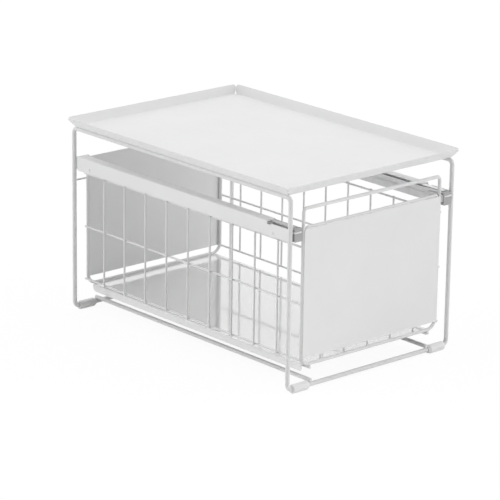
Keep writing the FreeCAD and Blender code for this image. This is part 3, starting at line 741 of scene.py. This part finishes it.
@dataclass
class TopTray(Assembly):
    """The folded tray, tacked to the top rods."""

    rod_x: float = 128.4 * MM
    rod_top: float = 239.9 * MM
    tacks: tuple[float, ...] = (-150.0 * MM, -50.0 * MM, 50.0 * MM, 150.0 * MM)
    tack: tuple[float, float, int] = (9.0 * MM, 1.7 * MM, 5)

    def solids(self) -> list[str]:
        """Name the solids in this group."""
        return ["tray_top"]

    def build(self) -> None:
        """Make the tack welds between tray and rods."""
        self.spread_out("tray_tacks", seam_bead("tray_tack", *self.tack), [
            aim((x * self.rod_x, y, self.rod_top), (0, 1, 0), (0, 0, 1))
            for x in SIDES.values() for y in self.tacks
        ], Body.FRAME, Slot.SHEET)


@dataclass
class Runners(Assembly):
    """Rails and telescopic slides on both sides."""

    rail_x: float = 130.5 * MM
    rail_end: float = 197.35 * MM
    rail_mid: float = 193.4 * MM
    rail_seam: tuple[float, float, int] = (12.0 * MM, 1.3 * MM, 7)
    seam_inset: float = 1.2 * MM
    web_x: float = 114.1 * MM
    web_fold: float = 193.2 * MM
    web_bead: tuple[float, float] = (340.0 * MM, 1.2 * MM)
    cut_end: tuple[Point, Point] = (
        (125.8 * MM, -166.75 * MM, 198.35 * MM), (130.1 * MM, -160.6 * MM, 200.0 * MM))
    # Painted shade: a dark grey wedge fills the deep end of each rail's cut, where there is only shadow.
    shade_wedge_front: tuple[float, float] = (0.6, 0.1)
    shade_wedge_slope: tuple[float, float] = (0.42, 0.45)
    shade_wedge_round: float = 0.2 * MM
    mouth: tuple[Point, Point] = (
        (115.9 * MM, -203.9 * MM, 194.8 * MM), (126.9 * MM, -198.2 * MM, 197.4 * MM))
    buffer_front: float = 0.1
    buffer_slope: float = 0.2
    buffer_round: float = 0.35 * MM

    def solids(self) -> list[str]:
        """Name the solids in this group.

        Returns:
            The rails' and the slides' nodes.
        """
        kinds = ("rail", "slide_outer", "rail_rivets", "ball_cage", "slide_balls", "slide_inner",
                 "slide_end")
        return [f"{kind}_{side}" for kind in kinds for side in SIDES]

    def build(self) -> None:
        """Make the seams at the legs, the slides' rolled beads, the dark wedges of painted shade in the
        rails' cuts and the stops' buffers.
        """
        seam_x = self.rail_x - self.seam_inset
        self.spread_out("rail_welds", seam_bead("rail_seam", *self.rail_seam), [
            aim((x * seam_x, -self.rail_end, self.rail_mid), (0, 0, 1), (0, 1, 0))
            for x in SIDES.values()
        ], Body.FRAME, Slot.SHEET)
        for side, x in SIDES.items():
            self.spread_out(f"slide_bead_{side}", thin_ridge("web_bead", *self.web_bead), [
                aim((x * self.web_x, 0.0, self.web_fold), (0, 1, 0), (-x, 0, 0))
            ], Body.DRAWER, Slot.ZINC)
            self.build_shade_wedge(side, x)
            self.build_buffer(side, x)

    @staticmethod
    def block(name: str, corners: tuple[Point, Point], sense: float) -> Workpiece:
        """A block between two corners, cut in four along Y.

        Args:
            name: The piece's name.
            corners: Low and high corner on the right side.
            sense: -1 for the left side, 1 for the right.

        Returns:
            The block on the bench.
        """
        low, high = (Vector(corner) for corner in corners)
        middle = (low + high) / 2.0
        piece = Workpiece(name, bpy.ops.mesh.primitive_cube_add, size=1.0,
                          location=(sense * middle.x, middle.y, middle.z))
        bpy.ops.transform.resize(value=high - low)
        bpy.ops.object.transform_apply(location=True, rotation=False, scale=True)
        piece.pick(Part.EDGES, lambda place, way: abs(way.y) > ALONG_AXIS)
        bpy.ops.mesh.subdivide(number_cuts=3)
        return piece

    def build_shade_wedge(self, side: str, sense: float) -> None:
        """Dark grey wedge of painted shade in the deep end of the rail's cut, set back furthest at its
        front.

        Args:
            side: Which side it is on, for its name.
            sense: -1 for the left side, 1 for the right.
        """
        low, high = (Vector(corner) for corner in self.cut_end)
        size, middle = high - low, (low + high) / 2.0
        dark_wedge = self.block(f"slot_shade_wedge_{side}", self.cut_end, sense)
        inner_limits = (middle.x, low.x + self.shade_wedge_round)
        for share, inner, slope in zip(self.shade_wedge_front, inner_limits, self.shade_wedge_slope):
            front = low.y + share * size.y
            dark_wedge.pick(Part.VERTS, lambda place, normal: place.y < front and abs(place.x) > inner)
            bpy.ops.transform.translate(value=(-slope * sense * size.x, 0.0, 0.0))
        dark_wedge.modify("BEVEL", width=self.shade_wedge_round, segments=2, limit_method="ANGLE")
        # Painted shade: the dark grey stop plastic stands for the shadow deep in the cut.
        self.fit(dark_wedge.close(angle=50.0), Body.FRAME, Slot.STOP)

    def build_buffer(self, side: str, sense: float) -> None:
        """Cushioned buffer in the mouth of an end stop, sloped towards the front.

        Args:
            side: Which side it is on, for its name.
            sense: -1 for the left side, 1 for the right.
        """
        low, high = (Vector(corner) for corner in self.mouth)
        size, middle = high - low, (low + high) / 2.0
        buffer = self.block(f"stop_buffer_{side}", self.mouth, sense)
        front = low.y + self.buffer_front * size.y
        buffer.pick(Part.VERTS, lambda place, normal: place.y < front and place.z > middle.z)
        bpy.ops.transform.translate(value=(0.0, 0.0, -self.buffer_slope * size.z))
        buffer.modify("BEVEL", width=self.buffer_round, segments=3, limit_method="ANGLE")
        self.fit(buffer.close(angle=50.0), Body.DRAWER, Slot.FOOT)


@dataclass
class Basket(Assembly):
    """The drawer: loops, panels, floor, side wires and the tabs that hang it on the slides."""

    loop_x: float = 110.0 * MM
    loop_side: float = 112.1 * MM
    front_loop: float = -200.0 * MM
    rear_loop: float = 199.0 * MM
    loop_rod: float = 4.2 * MM
    rear_top: float = 199.5 * MM
    floor_level: float = 28.9 * MM
    floor_rod_x: float = 97.0 * MM
    floor_rod: float = 4.0 * MM
    floor_rod_ends: tuple[float, float] = (-201.2 * MM, 200.2 * MM)
    floor_wires: tuple[float, ...] = tuple(x * MM for x in (-76.0, -38.0, 0.0, 38.0, 76.0))
    floor_wire_end: float = 200.5 * MM
    floor_wire_tip: float = 41.5 * MM
    turned_up: float = -196.65 * MM
    wire: float = 2.5 * MM
    side_x: float = 113.35 * MM
    side_heights: tuple[float, ...] = (38.5 * MM, 107.5 * MM, 176.5 * MM)
    side_ends: tuple[float, float] = (-200.2 * MM, 200.0 * MM)
    upright_count: int = 9
    upright_pitch: float = 40.35 * MM
    upright_mids: tuple[float, float] = (-2.2 * MM, 4.2 * MM)
    upright_ends: tuple[float, float] = (37.3 * MM, 177.1 * MM)
    screw_face: float = 110.5 * MM
    screw_ys: tuple[float, float] = (-183.1 * MM, 182.1 * MM)
    hang_height: float = 193.4 * MM
    screw_height: float = 191.5 * MM
    upright_bead: tuple[float, float] = (2.3 * MM, 0.9 * MM)
    side_bead: tuple[float, float] = (2.7 * MM, 1.0 * MM)
    floor_rod_bead: tuple[float, float] = (3.2 * MM, 1.3 * MM)
    floor_wire_bead: tuple[float, float] = (2.6 * MM, 1.0 * MM)
    hanger_seam: tuple[float, float, int] = (8.0 * MM, 1.2 * MM, 5)
    seam_inset: float = 1.75 * MM
    seam_rise: float = 0.1 * MM
    screw_crown: tuple[float, float] = (3.9 * MM, 0.5 * MM)

    def solids(self) -> list[str]:
        """Name the solids in this group.

        Returns:
            The basket's nodes and those of its hangers.
        """
        names = ["front_loop", "rear_loop", "front_panel", "rear_panel", "front_lip_rod"]
        names += ["floor_plate", "floor_wires"]
        for side in SIDES:
            names += [f"side_wire_{row}_{side}" for row in ("top", "mid", "low")]
            kinds = ("floor_rod", "upright_wires", "hanger_front", "hanger_rear", "hanger_screws")
            names += [f"{kind}_{side}" for kind in kinds]
        return names

    def uprights(self, sense: float) -> list[float]:
        """Places of one side's uprights along Y.

        Args:
            sense: -1 for the left side, 1 for the right.

        Returns:
            The places in metres, from front to rear.
        """
        middle = self.upright_mids[0 if sense < 0 else 1]
        half = self.upright_count // 2
        return [middle + step * self.upright_pitch for step in range(-half, half + 1)]

    def build(self) -> None:
        """Make the welds, the wire ends and the screws' crowns."""
        self.build_sides()
        self.build_floor()
        self.build_hangers()

    def build_sides(self) -> None:
        """Spot welds along the side wires, and the domed ends of wires and uprights."""
        outside = self.side_x + self.wire / 2
        for side, x in SIDES.items():
            upright_bead = weld_bead("upright_bead", *self.upright_bead)
            self.spread_out(f"upright_welds_{side}", upright_bead, [
                aim((x * outside, y, z), (0, 1, 0), (x, 0, 0))
                for y in self.uprights(x) for z in self.side_heights
            ], Body.DRAWER, Slot.WIRE)
            self.spread_out(f"side_welds_{side}", weld_bead("side_bead", *self.side_bead), [
                aim((x * self.loop_side, y, z), (0, 1, 0), (x, 0, 0))
                for y in (self.front_loop, self.rear_loop) for z in self.side_heights
            ], Body.DRAWER, Slot.WIRE)
            tips = [
                aim((x * (outside + self.wire / 2), y, z), (1, 0, 0), (0, 0, way))
                for y in self.uprights(x) for z, way in zip(self.upright_ends, (-1, 1))
            ]
            tips += [
                aim((x * self.side_x, y, z), (1, 0, 0), (0, way, 0))
                for z in self.side_heights for y, way in zip(self.side_ends, (-1, 1))
            ]
            self.spread_out(f"wire_ends_{side}", rod_end("wire_dome", self.wire), tips,
                            Body.DRAWER, Slot.WIRE)

    def build_floor(self) -> None:
        """Spot welds and ends of the rods and wires under the basket floor."""
        loops = (self.front_loop, self.rear_loop)
        self.spread_out("floor_rod_welds", weld_bead("floor_rod_bead", *self.floor_rod_bead), [
            aim((x * self.floor_rod_x, y, self.floor_level), (1, 0, 0), (0, 0, 1))
            for x in SIDES.values() for y in loops
        ], Body.DRAWER, Slot.ROD)
        rod_height = self.floor_level - self.floor_rod / 2
        self.spread_out("floor_rod_ends", rod_end("floor_rod_dome", self.floor_rod), [
            aim((x * self.floor_rod_x, y, rod_height), (1, 0, 0), (0, way, 0))
            for x in SIDES.values() for y, way in zip(self.floor_rod_ends, (-1, 1))
        ], Body.DRAWER, Slot.ROD)
        spots = [
            aim((x, self.rear_loop, self.floor_level), (1, 0, 0), (0, 0, 1))
            for x in self.floor_wires
        ]
        reach = self.loop_rod / 2
        spots += [
            aim((x, self.front_loop + reach, self.floor_level + reach), (1, 0, 0), (0, 1, 0))
            for x in self.floor_wires
        ]
        wire_bead = weld_bead("floor_wire_bead", *self.floor_wire_bead)
        self.spread_out("floor_wire_welds", wire_bead, spots, Body.DRAWER, Slot.WIRE)
        low = self.floor_level - self.wire / 2
        tips = [aim((x, self.floor_wire_end, low), (1, 0, 0), (0, 1, 0)) for x in self.floor_wires]
        tips += [
            aim((x, self.turned_up, self.floor_wire_tip), (1, 0, 0), (0, 0, 1))
            for x in self.floor_wires
        ]
        self.spread_out("floor_wire_ends", rod_end("floor_wire_dome", self.wire), tips,
                        Body.DRAWER, Slot.WIRE)
        self.spread_out("rear_loop_ends", rod_end("loop_dome", self.loop_rod), [
            aim((x * self.loop_x, self.rear_loop, self.rear_top), (1, 0, 0), (0, 0, 1))
            for x in SIDES.values()
        ], Body.DRAWER, Slot.ROD)

    def build_hangers(self) -> None:
        """Seams between tabs and loops, and the screws' crowns."""
        seam_x = self.loop_side + self.seam_rise
        self.spread_out("hanger_welds", seam_bead("hanger_seam", *self.hanger_seam), [
            aim((x * seam_x, y + way * self.seam_inset, self.hang_height), (0, 0, 1), (x, 0, 0))
            for x in SIDES.values() for y, way in ((self.front_loop, 1), (self.rear_loop, -1))
        ], Body.DRAWER, Slot.ROD)
        self.spread_out("screw_crowns", screw_top("screw_crown", *self.screw_crown), [
            aim((x * self.screw_face, y, self.screw_height), (0, 1, 0), (-x, 0, 0))
            for x in SIDES.values() for y in self.screw_ys
        ], Body.DRAWER, Slot.ZINC)


def grey(level: float) -> tuple[float, float, float, float]:
    """A neutral colour of a brightness."""
    return (level, level, level, 1.0)


@dataclass(frozen=True)
class Softbox:
    """A square soft light that faces the object, not seen by the camera."""

    name: str
    place: Point
    width: float
    watts: float
    glints: bool

    def hang(self, target: Point) -> None:
        """Put up the light.

        Args:
            target: What it faces, in metres.
        """
        lamp = bpy.data.lights.new(self.name, "AREA")
        lamp.shape = "SQUARE"
        lamp.size = self.width
        lamp.energy = self.watts
        stand = bpy.data.objects.new(self.name, lamp)
        stand.location = self.place
        ahead = Vector(target) - Vector(self.place)
        stand.rotation_euler = ahead.to_track_quat("-Z", "Y").to_euler()
        stand.visible_camera, stand.visible_glossy = False, self.glints
        bpy.context.scene.collection.objects.link(stand)


@dataclass
class Studio:
    """A white floor under a large soft light, with the camera where the picture was taken."""

    floor_half: float = 9.0
    floor_drop: float = 0.02 * MM
    floor_pale: float = 0.95
    floor_glow: float = 0.93
    floor_grey: float = 0.08
    sky_sides: float = 1.72
    sky_ahead: float = 0.0
    sky_turn: float = 0.25
    lamp_aim: Point = (0.0, 0.0, 0.12)
    sensor: float = 36.0
    lens: float = 204.85
    clip: tuple[float, float] = (0.1, 50.0)
    camera_place: Point = (-2.23299, -2.49570, 1.14216)
    camera_aim: Point = (-0.00919, 0.00525, 0.10290)
    camera_roll: float = 0.858
    lamps: tuple[Softbox, ...] = (
        Softbox("back_softbox", (1.9, 1.9, 2.5), width=2.0, watts=15.0, glints=True),
        Softbox("left_softbox", (-3.2, -0.4, 0.35), width=1.4, watts=4.0, glints=False),
        Softbox("front_softbox", (0.2, -3.3, 0.35), width=1.4, watts=4.0, glints=False),
    )

    def build(self) -> None:
        """Set up floor, sky, lamps, camera and colour."""
        self.build_floor()
        self.build_sky()
        for lamp in self.lamps:
            lamp.hang(self.lamp_aim)
        self.build_camera()
        bpy.context.scene.view_settings.view_transform = "Standard"

    @staticmethod
    def seen_directly(tree: bpy.types.NodeTree) -> Socket:
        """Tell rays that show the background from rays that light the object.

        Args:
            tree: The material or sky to add the test to.

        Returns:
            1 for camera, glossy and transmission rays, otherwise 0.
        """
        path = tree.nodes.new("ShaderNodeLightPath")
        value = path.outputs["Is Camera Ray"]
        for kind in ("Is Glossy Ray", "Is Transmission Ray"):
            either = tree.nodes.new("ShaderNodeMath")
            either.operation = "MAXIMUM"
            tree.links.new(value, either.inputs[0])
            tree.links.new(path.outputs[kind], either.inputs[1])
            value = either.outputs["Value"]
        return value

    def show(self, tree: bpy.types.NodeTree, lit: Socket, shown: Socket, output: bpy.types.Node) -> None:
        """Light the object by one shader, and show another behind it.

        Args:
            tree: The material or sky.
            lit: The shader that lights.
            shown: The shader that is seen.
            output: The tree's output.
        """
        choice = tree.nodes.new("ShaderNodeMixShader")
        tree.links.new(self.seen_directly(tree), choice.inputs["Fac"])
        for place, shader in enumerate((lit, shown), start=1):
            tree.links.new(shader, choice.inputs[place])
        tree.links.new(choice.outputs["Shader"], output.inputs["Surface"])

    def build_floor(self) -> None:
        """A pale floor that shows white around the object's soft shadow."""
        clear_bench()
        bpy.ops.mesh.primitive_plane_add(size=2.0 * self.floor_half,
                                         location=(0.0, 0.0, -self.floor_drop))
        floor = bpy.context.object
        floor.name = "studio_floor"
        material = bpy.data.materials.new("studio_floor")
        material.use_nodes = True
        tree = material.node_tree
        tree.nodes.clear()
        output = tree.nodes.new("ShaderNodeOutputMaterial")
        lit = tree.nodes.new("ShaderNodeBsdfDiffuse")
        lit.inputs["Color"].default_value = grey(self.floor_pale)
        shadowed = tree.nodes.new("ShaderNodeBsdfDiffuse")
        shadowed.inputs["Color"].default_value = grey(self.floor_grey)
        glow = tree.nodes.new("ShaderNodeEmission")
        glow.inputs["Strength"].default_value = self.floor_glow
        shown = tree.nodes.new("ShaderNodeAddShader")
        tree.links.new(shadowed.outputs["BSDF"], shown.inputs[0])
        tree.links.new(glow.outputs["Emission"], shown.inputs[1])
        self.show(tree, lit.outputs["BSDF"], shown.outputs["Shader"], output)
        floor.data.materials.append(material)

    def build_sky(self) -> None:
        """A sky that lights from both sides of the picture, and shows white behind the object."""
        world = bpy.data.worlds.new("studio_sky")
        world.use_nodes = True
        tree = world.node_tree
        tree.nodes.clear()
        output = tree.nodes.new("ShaderNodeOutputWorld")
        way = tree.nodes.new("ShaderNodeTexCoord").outputs["Generated"]
        split = tree.nodes.new("ShaderNodeSeparateXYZ")
        tree.links.new(way, split.inputs["Vector"])
        across = tree.nodes.new("ShaderNodeMath")
        across.operation = "MULTIPLY"
        for place, axis in enumerate("XY"):
            tree.links.new(split.outputs[axis], across.inputs[place])
        level = tree.nodes.new("ShaderNodeMapRange")
        limits = (-self.sky_turn, self.sky_turn, self.sky_sides, self.sky_ahead)
        for name, number in zip(RANGE_INPUTS, limits):
            level.inputs[name].default_value = number
        tree.links.new(across.outputs["Value"], level.inputs["Value"])
        lit, white = (tree.nodes.new("ShaderNodeBackground") for _ in range(2))
        for shader in (lit, white):
            shader.inputs["Color"].default_value = grey(1.0)
        tree.links.new(level.outputs["Result"], lit.inputs["Strength"])
        self.show(tree, lit.outputs["Background"], white.outputs["Background"], output)
        bpy.context.scene.world = world

    def build_camera(self) -> None:
        """A long lens aimed and rolled as the picture shows."""
        camera = bpy.data.cameras.new("picture_camera")
        camera.sensor_width = self.sensor
        camera.lens = self.lens
        camera.clip_start, camera.clip_end = self.clip
        stand = bpy.data.objects.new("picture_camera", camera)
        stand.location = self.camera_place
        ahead = Vector(self.camera_aim) - Vector(self.camera_place)
        level = ahead.to_track_quat("-Z", "Y")
        roll = Quaternion((0.0, 0.0, 1.0), math.radians(self.camera_roll))
        stand.rotation_euler = (level @ roll).to_euler()
        bpy.context.scene.collection.objects.link(stand)
        bpy.context.scene.camera = stand


def main() -> None:
    """Dress the solids, add the studio and log each piece's slot."""
    logging.basicConfig(level=logging.INFO, format="%(message)s")
    palette = {slot: finish.material() for slot, finish in FINISHES.items()}
    for group in (RodFrame(palette), TopTray(palette), Runners(palette), Basket(palette)):
        group.build()
        group.dress()
    Studio().build()


if __name__ == "__main__":
    main()
